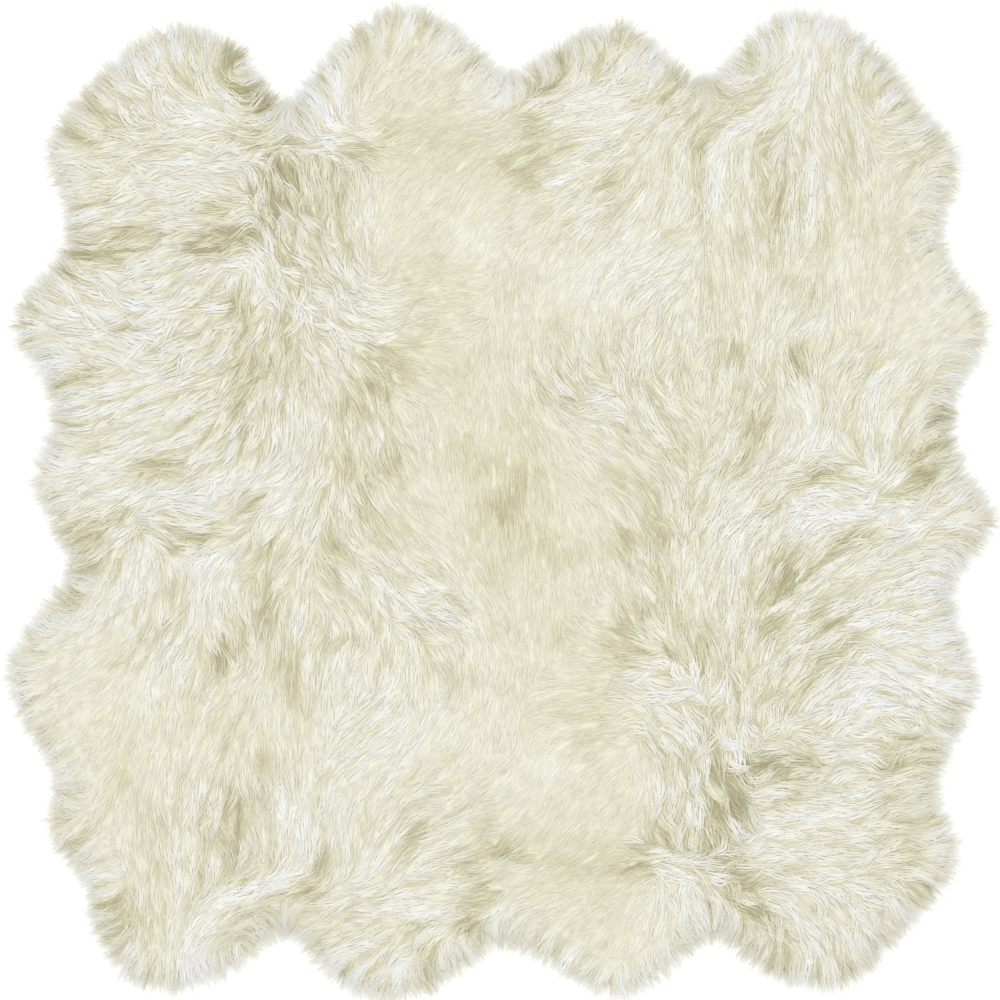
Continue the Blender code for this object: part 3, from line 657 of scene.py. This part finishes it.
class Rug:
    """Which pelt a place is on, which way the wool lies there, how high it stands and how it looks."""

    def __init__(self, pelts):
        self.hides, owners = tree_of(pelts, lambda pelt: pelt.hide)
        self.owners = np.array(owners + [-1])
        places = Map.places()
        tops, _ = tree_of(pelts, lambda pelt: pelt.bm.faces)
        self.top = Map(dropped(tops, places)[0], TOP_SOFTENED)
        depth = distance_to_nearest(places, np.concatenate([pelt.rim_chords() for pelt in pelts]))
        depth = np.where(dropped(self.hides, places)[1] < 0, -depth, depth)
        self.depth = Map(depth)
        slope = np.gradient(Map(depth, SLOPE_SOFTENED).values[..., 0], MAP_PITCH)
        self.outward = Map(unit(-np.stack(slope, axis=-1)))
        self.comb(places, depth)
        tangle = total_of(TANGLES, places)
        self.tangle = Map(tangle)
        self.strength = Map((1 + (tangle + total_of(CRISPNESS, places))).clip(STRENGTH_LEAST))
        self.shade = Map(total_of(SHADES, places))
        self.streaks = self.streaks_from(np.random.default_rng(STREAK_SEED))

    def comb(self, places, depth):
        """Spreads the strokes over the rug, and turns the wool outwards at its rim."""
        lines, headings = np.zeros((2, len(places), 2))
        for stroke in STROKES:
            for points in on_both_halves(stroke):
                for start, end in zip(points, points[1:]):
                    heading = unit(end - start)
                    away = distance_to_chord(places, start, end)
                    weight = np.exp(-(away / STROKE_SPREAD) ** 2)
                    weight += FAR_WEIGHT * np.exp(-(away / FAR_SPREAD) ** 2)
                    lines += weight[:, None] * doubled(heading)
                    headings += weight[:, None] * heading
        outward = self.outward.values.reshape(-1, 2)
        turn = RIM_TURN * ramp(-depth, *RIM_TURN_BAND)[:, None]
        self.lines = Map((1 - turn) * unit(lines) + turn * doubled(outward))
        push = RIM_HEADING * ramp(-depth, *RIM_HEADING_BAND)[:, None]
        self.headings = Map(unit(headings) + push * outward)

    def along(self, places, headings):
        """The wool's direction at each place, on the side that the headings point to."""
        x, y = np.moveaxis(self.lines.at(places), -1, 0)
        angle = np.arctan2(y, x) / 2
        line = np.stack([np.cos(angle), np.sin(angle)], axis=-1)
        return np.where((line * headings).sum(axis=-1, keepdims=True) < 0, -line, line)

    def streaks_from(self, chance):
        """Light and dark streaks along the wool: the mean of random specks along its lines."""
        places = Map.places(STREAK_PITCH)
        specks = Map(chance.normal(0, 1, len(places)), pitch=STREAK_PITCH)
        headings = self.along(places, self.headings.at(places))
        strides = np.full(len(places), float(STREAK_PITCH))
        total = specks.level_at(places)
        for way in (headings, -headings):
            path = walk(self, places, way, strides, 0, 0, STREAK_STEPS)
            total += specks.level_at(path[:, 1:]).sum(axis=1)
        return Map(total / total.std(), pitch=STREAK_PITCH)

    def pelt_at(self, places):
        return self.owners[dropped(self.hides, places)[1]]


# ---- Growing the wool ----

def walk(rug, starts, headings, strides, turns, curls, steps):
    """Lines from the starts that follow the lie of the wool, turned from it more and more."""
    path = [starts]
    for step in range(steps):
        turn = turns + curls * step / PATH_STEPS
        cosine, sine = np.cos(turn), np.sin(turn)
        x, y = rug.along(path[-1], headings).T
        along = np.stack([x * cosine - y * sine, x * sine + y * cosine], axis=1)
        headings = unit(headings * (1 - TURNING) + along * TURNING)
        path.append(path[-1] + headings * strides[:, None])
    return np.stack(path, axis=1)


def comb_paths(rug, middles, lengths, turns, curls):
    """Lines of wool through the middles, from root to tip, in even steps."""
    headings = rug.along(middles, rug.headings.at(middles))
    strides = lengths / PATH_STEPS
    back = walk(rug, middles, -headings, strides, turns, -curls, STEPS_BACK)
    on = walk(rug, middles, headings, strides, turns, curls, STEPS_ON)
    return np.concatenate([back[:, :0:-1], on], axis=1)


def read_along(paths, shares):
    """The points on each path at its shares of the way."""
    spots = np.clip(shares * PATH_STEPS, 0, PATH_STEPS - 1e-6)
    low = spots.astype(int)
    rows = np.arange(len(paths))[:, None]
    part = (spots - low)[..., None]
    return paths[rows, low] * (1 - part) + paths[rows, low + 1] * part


def cut_off(rug, paths, overhangs):
    """The share of each path that keeps within its overhang past the edge of the hide."""
    past = -rug.depth.level_at(paths) > overhangs[:, None]
    first = np.where(past.any(axis=1), past.argmax(axis=1), PATH_STEPS)
    return np.maximum(first, LEAST_STEPS) / PATH_STEPS


def scattered(pitch, chance):
    """Places all over the rug's square, about the pitch apart."""
    rows = int(2 * MAP_REACH / (pitch * ROW_PITCH))
    steps = int(2 * MAP_REACH / pitch)
    row, step = np.meshgrid(np.arange(rows), np.arange(steps), indexing="ij")
    x = (step + 0.5 * (row % 2)) * pitch - MAP_REACH
    y = row * ROW_PITCH * pitch - MAP_REACH
    places = np.stack([x.ravel(), y.ravel()], axis=1)
    return places + chance.uniform(-JITTER, JITTER, places.shape) * pitch


class Locks:
    """Locks of the fleece: strands near a lock's middle draw together and wave as one."""

    def __init__(self, rug, chance):
        centres = scattered(LOCK_PITCH, chance)
        centres = centres[rug.depth.level_at(centres) > LOCKS_END]
        count = len(centres)
        tangle = rug.tangle.level_at(centres).clip(TANGLE_LEAST)
        turns = chance.normal(0, np.radians(LOCK_TURN), count) * (1 + TANGLED_TURN * tangle)
        curls = chance.normal(0, np.radians(LOCK_CURL), count) * (1 + TANGLED_CURL * tangle)
        self.rows = LockRows(
            path=comb_paths(rug, centres, np.full(count, float(LOCK_LENGTH)), turns, curls),
            turn=turns,
            curl=curls,
            tight=chance.uniform(*TIGHTNESS, count),
            rise=chance.uniform(*LOCK_RISE, count),
            phase=chance.uniform(0, 2 * np.pi, count),
            wave=chance.uniform(*CRIMP_LENGTH, count),
            width=chance.uniform(*CRIMP_WIDTH, count),
            light=chance.normal(0, 1, count),
        )
        self.tree = KDTree(count)
        for i, centre in enumerate(centres):
            self.tree.insert((*centre, 0), i)
        self.tree.balance()

    def nearest(self, places):
        """The nearest lock's row for each place."""
        chosen = [self.tree.find((*place, 0))[1] for place in places]
        return LockRows(*(column[chosen] for column in self.rows))


class Strands:
    """Strands of one kind from the roots: their lines in space, their widths and how light they are."""

    def __init__(self, rug, locks, kind, roots, overhangs, chance):
        self.rug, self.kind, self.chance = rug, kind, chance
        self.count = len(roots)
        self.along = np.linspace(0, 1, STATIONS)
        self.lock = locks.nearest(roots)
        self.flat, self.dome = self.draw_flat(roots, overhangs)
        self.strength = rug.strength.level_at(self.flat)
        shade = self.take_shade()
        self.lines = np.concatenate([self.flat, self.rise_to()[..., None]], axis=2)
        widths = kind.width * chance.uniform(*WIDTH_VARIES, self.count)[:, None]
        self.widths = widths * (1 - self.along[:-1] ** 3)
        self.widths[:, 0] *= ROOT_WIDTH
        self.light = self.light_up(shade)

    def draw_flat(self, roots, overhangs):
        """The lines seen from above, and how near each is to the middle of its lock."""
        kind, lock, chance = self.kind, self.lock, self.chance
        lengths = kind.length * (1 + chance.uniform(-kind.varies, kind.varies, self.count))
        turns = chance.normal(0, np.radians(kind.turn), self.count) + kind.gathers * lock.turn
        paths = comb_paths(self.rug, roots, lengths, turns, kind.gathers * lock.curl)
        shares = self.along * cut_off(self.rug, paths, overhangs)[:, None]
        flat, middle = read_along(paths, shares), read_along(lock.path, shares)
        heading = unit(np.gradient(middle, axis=1))
        to_lock = middle - flat
        onward = (to_lock * heading).sum(axis=2, keepdims=True) * heading
        across = to_lock - onward
        from_middle = np.linalg.norm(across[:, STATIONS // 2], axis=1) / (LOCK_PITCH / 2)
        agrees = (unit(flat[:, -1] - flat[:, 0]) * unit(middle[:, -1] - middle[:, 0])).sum(axis=1)
        tight = kind.gathers * lock.tight * chance.uniform(*TIGHTNESS_VARIES, self.count)
        gathers = (tight * ramp(agrees, *AGREEMENT))[:, None] * self.along ** GATHERS_LATE
        flat += (across + LOCK_GATHERS * onward) * gathers[..., None]
        side = np.stack([-heading[..., 1], heading[..., 0]], axis=-1)
        run = shares * lengths[:, None]
        wave = np.sin(2 * np.pi * run / lock.wave[:, None] + lock.phase[:, None])
        flat += side * (wave * lock.width[:, None] * self.along ** WAVES_LATE)[..., None]
        return flat, np.clip(1 - from_middle ** 2, DOME_LEAST, 1)[:, None]

    def take_shade(self):
        """The painted shade of the hollows and painted light of the tufts that the strands lie in."""
        astray = self.chance.normal(0, SHADE_STRAYS, (self.count, 2))
        spots = self.flat[:, STATIONS // 2] + astray
        depth = 1 + SHADE_OF_LOCK * self.lock.light + self.chance.normal(0, SHADE_VARIES, self.count)
        shade = (self.rug.shade.level_at(self.flat) + self.rug.shade.level_at(spots)[:, None]) / 2
        return shade * np.clip(depth, *SHADE_RANGE)[:, None]

    def rise_to(self):
        """The heights of the strands' stations."""
        along, strength = self.along, self.strength
        rise = self.kind.rise * self.chance.uniform(*RISE_VARIES, self.count)[:, None] ** RISE_POWER
        lift = rise * along * strength - ROOT_DEPTH * (1 - along) ** 2
        lift += self.lock.rise[:, None] * along ** RISES_LATE * (0.5 + 0.5 * self.dome) * strength
        return np.clip(self.rug.top.level_at(self.flat) + lift, LOWEST, HIGHEST)

    def light_up(self, shade):
        """How light the strands are at their stations: their own tone, with painted shade and painted
        light.
        """
        own = LIGHT_OF_LOCK * self.lock.light + self.chance.normal(0, LIGHT_OF_STRAND, self.count)
        # Darker roots, partly painted shade under other strands; painted light at a lock's middle and
        # painted shade at its edges.
        light = own[:, None] + ROOT_TONE_AND_SHADE * (self.along - 0.5) + PAINTED_LOCK_EDGE_SHADE * (self.dome - 0.5)
        at_rim = ramp(-self.rug.depth.level_at(self.flat), *RIM_BAND)
        streaky = LIGHT_OF_STREAK * (self.strength.clip(0, STREAK_STRENGTH) + at_rim)
        light = LIGHT_MIDDLE + self.strength * light + streaky * self.rug.streaks.level_at(self.flat)
        # Painted shade of the hollows and painted light of the tufts.
        light += np.where(shade < 0, PAINTED_SHADE_SCALE, PAINTED_LIGHT_SCALE) * shade
        # Painted light on the rim; painted shade in smooth places and painted light in crisp ones.
        return light + PAINTED_RIM_LIGHT * at_rim + PAINTED_LIGHT_BY_STRENGTH * (self.strength - 1)


def set_light(mesh, light):
    attribute = mesh.attributes.new("light", "FLOAT", "POINT")
    attribute.data.foreach_set("value", light.astype(np.float32).ravel())


def strand_map(count):
    """Where the strands' corners are on the map of the fleece, with each strand in its own cell."""
    columns = int(np.ceil(np.sqrt(count * STRAND_CELL[1] / STRAND_CELL[0])))
    rows = int(np.ceil(count / columns))
    within = np.concatenate([face.places for face in STRAND_FACES]) / (3, STATIONS - 1)
    within = within * (1 - 2 * CELL_MARGIN) + CELL_MARGIN
    strand = np.arange(count)
    origin = np.stack([strand % columns, strand // columns], axis=1)
    return (origin[:, None] + within) / (columns, rows)


def joined_strands(lines, widths, light):
    """A mesh of closed three-sided tapering strands, from arrays with a row for each strand."""
    count = len(lines)
    forward = unit(np.gradient(lines, axis=1))[:, :-1]
    side = unit(np.cross(forward, (0, 0, 1)))
    ridge = np.cross(side, forward)
    half = widths[..., None] / 2
    rings = lines[:, :-1]
    rings = np.stack([rings - side * half, rings + ridge * half * RIDGE, rings + side * half], 2)
    points = np.concatenate([rings.reshape(count, -1, 3), lines[:, -1:]], axis=1)
    # Painted light on each strand's ridge and painted shade on its sides.
    ring_light = np.repeat(light[:, :-1], 3, axis=1)
    ring_light += PAINTED_RIDGE_LIGHT * np.tile((-0.5, 0.5, -0.5), STATIONS - 1)
    numbers = np.concatenate([face.corners for face in STRAND_FACES])
    sizes = np.array([len(face.corners) for face in STRAND_FACES])
    strand = np.arange(count)[:, None]
    corners = strand * points.shape[1] + numbers
    starts = strand * len(numbers) + np.cumsum(sizes) - sizes
    raised = ridge + (0, 0, NORMAL_RAISED)
    leans = [unit(raised + side * lean) for lean in (-NORMAL_LEAN, 0, NORMAL_LEAN)]
    normals = np.stack(leans, axis=2).reshape(count, -1, 3)
    normals = np.concatenate([normals, unit(raised[:, -1:])], axis=1)[:, numbers]
    normals[:, np.repeat([face.below for face in STRAND_FACES], sizes)] *= -1
    mesh = bpy.data.meshes.new("strands")
    mesh.vertices.add(points.size // 3)
    mesh.vertices.foreach_set("co", (points * MM).astype(np.float32).ravel())
    mesh.loops.add(corners.size)
    mesh.loops.foreach_set("vertex_index", corners.astype(np.int32).ravel())
    mesh.polygons.add(starts.size)
    mesh.polygons.foreach_set("loop_start", starts.astype(np.int32).ravel())
    mesh.update(calc_edges=True)
    mesh.shade_smooth()
    mesh.normals_split_custom_set(normals.reshape(-1, 3).tolist())
    layer = mesh.uv_layers.new(name="OFBake")
    layer.uv.foreach_set("vector", strand_map(count).astype(np.float32).ravel())
    set_light(mesh, np.concatenate([ring_light, light[:, -1:]], axis=1))
    return mesh


# ---- Materials ----

class Term:
    """A socket in shader maths: an expression on terms adds its Math nodes."""

    def __init__(self, finish, socket):
        self.finish = finish
        self.socket = socket

    def maths(self, operation, first, second):
        return self.finish.node("ShaderNodeMath", {"operation": operation}, {0: first, 1: second})

    def __add__(self, other):
        return self.maths("ADD", self, other)

    def __radd__(self, other):
        return self.maths("ADD", other, self)

    def __sub__(self, other):
        return self.maths("SUBTRACT", self, other)

    def __rsub__(self, other):
        return self.maths("SUBTRACT", other, self)

    def __mul__(self, other):
        return self.maths("MULTIPLY", self, other)

    def __rmul__(self, other):
        return self.maths("MULTIPLY", other, self)


class Finish:
    """A material with a Principled shader, built from nodes."""

    def __init__(self, name, **sockets):
        self.material = bpy.data.materials.new(name)
        self.material.use_nodes = True
        self.tree = self.material.node_tree
        self.shader = self.tree.nodes["Principled BSDF"]
        self.feed(self.shader, {name.replace("_", " "): value for name, value in sockets.items()})

    def feed(self, node, sockets):
        for name, value in sockets.items():
            if isinstance(value, Term):
                self.tree.links.new(value.socket, node.inputs[name])
            else:
                node.inputs[name].default_value = value

    def node(self, kind, settings, sockets, output=0):
        """Adds a node, sets its settings first and then feeds its sockets. Returns its output."""
        node = self.tree.nodes.new(kind)
        for name, value in settings.items():
            if name == "stops":
                lay_stops(node.color_ramp, value)
            else:
                setattr(node, name, value)
        self.feed(node, sockets)
        return Term(self, node.outputs[output])

    def place(self):
        return self.node("ShaderNodeTexCoord", {}, {}, "Object")

    def light(self):
        return self.node("ShaderNodeAttribute", {"attribute_name": "light"}, {}, "Fac")

    def noise(self, place, scale, detail=2.0):
        sockets = {"Vector": place, "Scale": scale, "Detail": detail}
        return self.node("ShaderNodeTexNoise", {}, sockets, "Fac")

    def colour(self, shown, stops):
        colour = self.node("ShaderNodeValToRGB", {"stops": stops}, {"Fac": shown})
        self.feed(self.shader, {"Base Color": colour})

    def bump(self, height, strength, distance):
        sockets = {"Height": height, "Strength": strength, "Distance": distance}
        self.feed(self.shader, {"Normal": self.node("ShaderNodeBump", {}, sockets)})


def lay_stops(colour_ramp, stops):
    while len(colour_ramp.elements) < len(stops):
        colour_ramp.elements.new(0.5)
    for element, (position, colour) in zip(colour_ramp.elements, stops):
        element.position = position
        element.color = (*colour, 1)


def wool_finish():
    finish = Finish("wool", Roughness=0.8)
    mottle = finish.noise(finish.place(), scale=180.0) - 0.5
    finish.colour(finish.light() + mottle * WOOL_MOTTLE, WOOL_COLOURS)
    return finish.material


def underwool_finish():
    finish = Finish("underwool", Roughness=0.9)
    place = finish.place()
    mottle = finish.noise(place, scale=260.0, detail=4.0) - 0.5
    finish.colour(finish.light() + mottle * UNDERWOOL_MOTTLE, UNDERWOOL_COLOURS)
    finish.bump(finish.noise(place, scale=420.0, detail=4.0), strength=0.5, distance=0.001)
    return finish.material


def suede_finish():
    finish = Finish("suede", Roughness=0.95)
    place = finish.place()
    clouds = finish.noise(place, scale=9.0, detail=3.0)
    grain = finish.noise(place, scale=700.0, detail=3.0)
    finish.colour(clouds * SUEDE_CLOUDS + grain * SUEDE_GRAIN, SUEDE_COLOURS)
    finish.bump(finish.noise(place, scale=900.0, detail=3.0), strength=0.5, distance=0.0004)
    return finish.material


# ---- The pieces ----

def mesh_of(bm, name):
    """The bmesh as a mesh. The bmesh is gone after it."""
    mesh = bpy.data.meshes.new(name)
    bm.to_mesh(mesh)
    bm.free()
    return mesh


def put_in_scene(name, data):
    item = bpy.data.objects.new(name, data)
    bpy.context.scene.collection.objects.link(item)
    return item


def new_piece(name, mesh, material):
    mesh.name = name
    mesh.materials.append(material)
    piece = put_in_scene(name, mesh)
    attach(piece, "root")
    return piece


def close_seams(bm):
    """Moves the walls out a little towards the next pelt's."""
    outward = {}
    for face in bm.faces:
        if abs(face.normal.z) < WALL:
            for vert in face.verts:
                outward[vert] = outward.get(vert, Vector()) + face.normal
    for vert, normal in outward.items():
        vert.co += normal.normalized() * SEAM_CLOSED * MM


def underwool_mesh(pelt):
    """The CAD solid's own form, a little lower, so that the strands of the fleece cover it."""
    bm = pelt.bm.copy()
    bm.verts.ensure_lookup_table()
    under_hide = {bm.verts[vert.index] for vert in pelt.ring}
    bm.normal_update()
    close_seams(bm)
    for edge in bm.edges:
        at_wall = any(abs(face.normal.z) < WALL for face in edge.link_faces)
        if at_wall or under_hide.issuperset(edge.verts):
            edge.smooth = False
    for vert in bm.verts:
        height = vert.co.z / MM
        place = np.array(vert.co.xy / MM)
        if vert in under_hide:
            height = HIDE_BOTTOM + HIDE_THICKNESS + UNDERWOOL_GAP
        elif height < ON_FLOOR:
            height = UNDERWOOL_FOOT
        else:
            sink = UNDERWOOL_SINK * rug.strength.level_at(place).clip(*SINK_STRENGTH)
            top = max(min(height, rug.top.level_at(place)), UNDERWOOL_LEAST * height)
            height = float(top - sink * ramp(height, 0, SINK_HEIGHT))
        past = max(0.0, -float(rug.depth.level_at(place)))
        place -= LOCK_DRAWN_IN * past * rug.outward.at(place)
        vert.co = (*(place * MM), height * MM)
    mesh = mesh_of(bm, "underwool")
    mesh.shade_smooth()
    places = np.array([vert.co.xy / MM for vert in mesh.vertices])
    # Painted shade in the underwool's gaps, darker where the wool is stronger, and the painted shade and
    # light of the hollows and tufts.
    strong = rug.strength.level_at(places).clip(UNDERWOOL_STRONG) - 1
    shade = rug.shade.level_at(places)
    set_light(mesh, UNDERWOOL_LIGHT - UNDERWOOL_GAP_SHADE * strong + UNDERWOOL_SHADE * shade)
    return mesh


def hide_mesh(pelt):
    """The skin itself: the flat underside, as thick as suede, with no locks."""
    bm = pelt.bm.copy()
    bm.faces.ensure_lookup_table()
    kept = {bm.faces[face.index] for face in pelt.hide}
    bmesh.ops.delete(bm, geom=[face for face in bm.faces if face not in kept], context="FACES")
    inner = [edge for edge in bm.edges if not edge.is_boundary]
    bmesh.ops.dissolve_edges(bm, edges=inner, use_verts=False)
    raised = bmesh.ops.extrude_face_region(bm, geom=bm.faces[:], use_keep_orig=True)["geom"]
    for vert in bm.verts:
        vert.co.z = HIDE_BOTTOM * MM
    for item in raised:
        if isinstance(item, bmesh.types.BMVert):
            item.co.z += HIDE_THICKNESS * MM
    bmesh.ops.recalc_face_normals(bm, faces=bm.faces)
    return mesh_of(bm, "hide")


def rim_roots(pelt, pitch, band, chance):
    """Places along the pelt's rim, to both sides of the edge of the hide."""
    chords = pelt.rim_chords()
    lengths = np.linalg.norm(chords[:, 1] - chords[:, 0], axis=1)
    count = int(lengths.sum() / pitch)
    chosen = chance.choice(len(chords), count, p=lengths / lengths.sum())
    share = chance.uniform(0, 1, (count, 1))
    on_edge = chords[chosen, 0] * (1 - share) + chords[chosen, 1] * share
    return on_edge - rug.outward.at(on_edge) * chance.uniform(*band, (count, 1))


def fleece_mesh(pelt, roots, strays, chance):
    """All strands of the pelt: of its body, strays among them, and those of its rim."""
    fringe = rim_roots(pelt, FRINGE.pitch, FRINGE_BAND, chance)
    rim_hair = rim_roots(pelt, RIM_HAIR.pitch, RIM_HAIR_BAND, chance)
    grown = []
    for kind, starts in ((BODY, roots), (STRAY, strays), (FRINGE, fringe), (RIM_HAIR, rim_hair)):
        reach = np.clip(chance.normal(kind.reach, kind.uneven, len(starts)), *REACH_RANGE)
        grown.append(Strands(rug, locks, kind, starts, WOOL_OVERHANG * reach, chance))
    columns = ([getattr(strands, name) for strands in grown] for name in ("lines", "widths", "light"))
    return joined_strands(*map(np.concatenate, columns))


def build_pelt(number, pelt, roots, strays):
    chance = np.random.default_rng(CHANCE_SEED + number)
    mesh = fleece_mesh(pelt, roots, strays, chance)
    fleece = new_piece(f"fleece_{pelt.name}", mesh, wool)
    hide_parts(f"pelt_{pelt.name}")
    under = new_piece(f"underwool_{pelt.name}", underwool_mesh(pelt), underwool)
    hide = new_piece(f"hide_{pelt.name}", hide_mesh(pelt), suede)
    flat, area = pelt.hide_size()


def joined_threads(starts, ends):
    """A mesh of straight square threads from the starts to the ends, from arrays."""
    count = len(starts)
    side = unit(ends - starts)[:, ::-1] * (-1, 1) * THREAD / 2
    flat = np.stack([starts - side, starts + side, ends + side, ends - side], axis=1)
    low, high = HIDE_BOTTOM / 2 - THREAD / 2, HIDE_BOTTOM / 2 + THREAD / 2
    points = np.concatenate([np.insert(flat, 2, z, axis=2) for z in (low, high)], axis=1)
    walls = [(i, i + 4, (i + 1) % 4 + 4, (i + 1) % 4) for i in range(4)]
    faces = np.array([(0, 1, 2, 3), (7, 6, 5, 4)] + walls)
    mesh = bpy.data.meshes.new("stitches")
    corners = (8 * np.arange(count)[:, None, None] + faces).reshape(-1, 4)
    mesh.from_pydata((points.reshape(-1, 3) * MM).tolist(), [], corners.tolist())
    return mesh


def stitch_seams():
    """Zigzag stitches across each seam, each pelt's stitches only towards pelts after it."""
    starts, ends = [], []
    for number, pelt in enumerate(pelts):
        for edge in pelt.seams:
            a, b = (np.array(vert.co.xy) / MM for vert in edge.verts)
            length = np.linalg.norm(b - a)
            across = ((b - a) / length)[::-1] * (-1, 1)
            beyond = [(a + b) / 2 + across * way for way in (BEYOND_SEAM, -BEYOND_SEAM)]
            if rug.pelt_at(np.array(beyond)).max() <= number:
                continue
            steps = max(1, round(length / STITCH_PITCH))
            out, short = across * STITCH_WIDTH / 2, across * STITCH_SHORT
            for step in range(steps):
                near, mid, far = (a + (b - a) * (step + part) / steps
                                  for part in (STITCH_BEGINS, STITCH_TURNS, STITCH_ENDS))
                starts += [near - out, mid + out]
                ends += [mid + out - short, far - out + short]
    new_piece("seam_stitches", joined_threads(np.array(starts), np.array(ends)), linen)


# ---- The camera and the studio ----

def set_camera():
    data = bpy.data.cameras.new("camera")
    data.lens = CAMERA_LENS
    data.sensor_width = SENSOR
    data.clip_end = CAMERA_REACH
    camera = put_in_scene("camera", data)
    distance = VIEW_WIDTH * CAMERA_LENS / SENSOR + VIEW_HEIGHT
    camera.location = Vector((*VIEW_MIDDLE, distance)) * MM
    bpy.context.scene.camera = camera


def add_key_light():
    data = bpy.data.lights.new("key", "AREA")
    data.shape = "DISK"
    data.size = KEY_SIZE
    data.energy = KEY_POWER
    lamp = put_in_scene("key", data)
    lamp.location = KEY_PLACE
    lamp.rotation_mode = "QUATERNION"
    lamp.rotation_quaternion = (-Vector(KEY_PLACE)).to_track_quat("-Z", "Y")


def set_stage():
    world = bpy.data.worlds.new("studio")
    world.use_nodes = True
    background = world.node_tree.nodes["Background"]
    background.inputs["Color"].default_value = (1, 1, 1, 1)
    background.inputs["Strength"].default_value = WORLD_LIGHT
    bpy.context.scene.world = world
    bpy.context.scene.view_settings.view_transform = "Standard"
    bm = bmesh.new()
    bmesh.ops.create_grid(bm, size=FLOOR_REACH)
    bmesh.ops.translate(bm, verts=bm.verts, vec=(0, 0, -FLOOR_DROP * MM))
    floor = put_in_scene("floor", mesh_of(bm, "floor"))
    floor.data.materials.append(Finish("floor", Base_Color=FLOOR_COLOUR, Roughness=0.9).material)


set_camera()
add_key_light()
set_stage()
pelts = [Pelt(name.removeprefix("pelt_"), node.data) for name, node in sorted(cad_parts.items())]
rug = Rug(pelts)
chance = np.random.default_rng(CHANCE_SEED)
locks = Locks(rug, chance)
wool, underwool, suede = wool_finish(), underwool_finish(), suede_finish()
linen = Finish("linen thread", Base_Color=LINEN, Roughness=0.7).material
body_roots = scattered(BODY.pitch, chance)
stray_roots = scattered(STRAY.pitch, chance)
body_pelts, stray_pelts = rug.pelt_at(body_roots), rug.pelt_at(stray_roots)
for number, pelt in enumerate(pelts):
    build_pelt(number, pelt, body_roots[body_pelts == number], stray_roots[stray_pelts == number])
stitch_seams()
